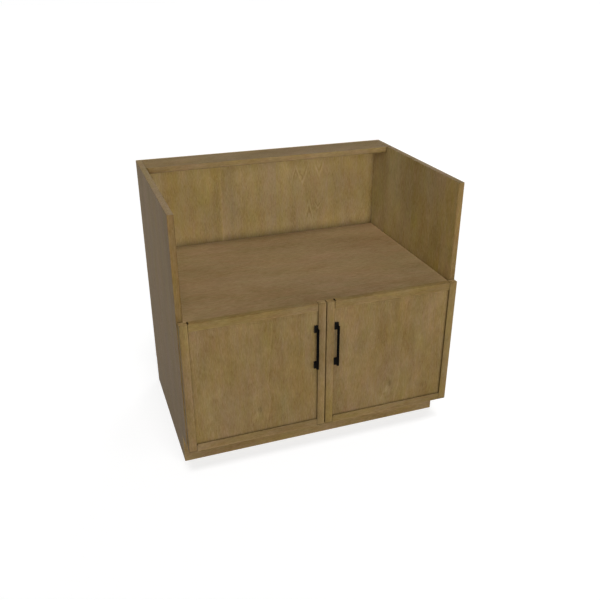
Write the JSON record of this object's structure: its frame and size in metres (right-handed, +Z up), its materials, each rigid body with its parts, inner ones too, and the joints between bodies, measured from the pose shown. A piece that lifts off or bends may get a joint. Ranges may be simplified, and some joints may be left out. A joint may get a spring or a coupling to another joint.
{
  "type": "farmhouse sink base cabinet",
  "caption": "Open-topped oak sink base cabinet: a recessed deck for an apron-front sink above slim-framed doors on concealed hinges, with black bar pulls and a toe kick.",
  "frame": {"origin": "on the floor, under the middle of the whole object with its doors closed and pulls included", "axes": "+X to the right seen from the front, +Y to the back, +Z up; the doors face -Y"},
  "size_m": [0.9144, 0.651, 0.8763],
  "materials": {
    "oak_side": "matt clear-coated oak veneer, vertical grain, slightly grey",
    "oak_back": "matt clear-coated oak veneer, vertical grain",
    "oak_deck": "matt clear-coated oak veneer, grain left to right",
    "oak_rail": "matt clear-coated oak, grain along the board",
    "oak_door": "satin clear-coated oak, grain along each frame piece and upright in the panel",
    "plywood": "clear-coated pale birch plywood",
    "black_metal": "satin black powder coat on cast zinc",
    "nickel_steel": "nickel-plated pressed steel",
    "clear_plastic": "soft translucent door bumper"
  },
  "bodies": {
    "cabinet": {"left_side_panel": "oak_side", "right_side_panel": "oak_side", "cabinet_floor": "plywood", "sink_deck": "oak_deck", "back_panel": "oak_back", "back_top_rail": "oak_rail", "toe_kick_board": "oak_rail", "deck_front_rail": "plywood", "left_deck_cleat": "plywood", "right_deck_cleat": "plywood", "back_deck_cleat": "plywood", "left_lower_hinge_arm": "nickel_steel", "left_lower_hinge_plate": "nickel_steel", "left_upper_hinge_arm": "nickel_steel", "left_upper_hinge_plate": "nickel_steel", "right_lower_hinge_arm": "nickel_steel", "right_lower_hinge_plate": "nickel_steel", "right_upper_hinge_arm": "nickel_steel", "right_upper_hinge_plate": "nickel_steel"},
    "left_door": {"left_door_hinge_stile": "oak_door", "left_door_meeting_stile": "oak_door", "left_door_top_rail": "oak_door", "left_door_bottom_rail": "oak_door", "left_door_panel": "oak_door", "left_door_pull": "black_metal", "left_door_lower_bumper": "clear_plastic", "left_door_upper_bumper": "clear_plastic", "left_lower_hinge_cup": "nickel_steel", "left_lower_hinge_pin": "nickel_steel", "left_upper_hinge_cup": "nickel_steel", "left_upper_hinge_pin": "nickel_steel"},
    "right_door": {"right_door_hinge_stile": "oak_door", "right_door_meeting_stile": "oak_door", "right_door_top_rail": "oak_door", "right_door_bottom_rail": "oak_door", "right_door_panel": "oak_door", "right_door_pull": "black_metal", "right_door_lower_bumper": "clear_plastic", "right_door_upper_bumper": "clear_plastic", "right_lower_hinge_cup": "nickel_steel", "right_lower_hinge_pin": "nickel_steel", "right_upper_hinge_cup": "nickel_steel", "right_upper_hinge_pin": "nickel_steel"}
  },
  "joints": [
    {"name": "left_door_hinge", "type": "hinge", "parent": "cabinet", "child": "left_door", "pos_m": [-0.4473, -0.29435, 0], "axis": [0, 0, -1], "range_deg": [0, 105]},
    {"name": "right_door_hinge", "type": "hinge", "parent": "cabinet", "child": "right_door", "pos_m": [0.4473, -0.29435, 0], "axis": [0, 0, 1], "range_deg": [0, 105]}
  ]
}
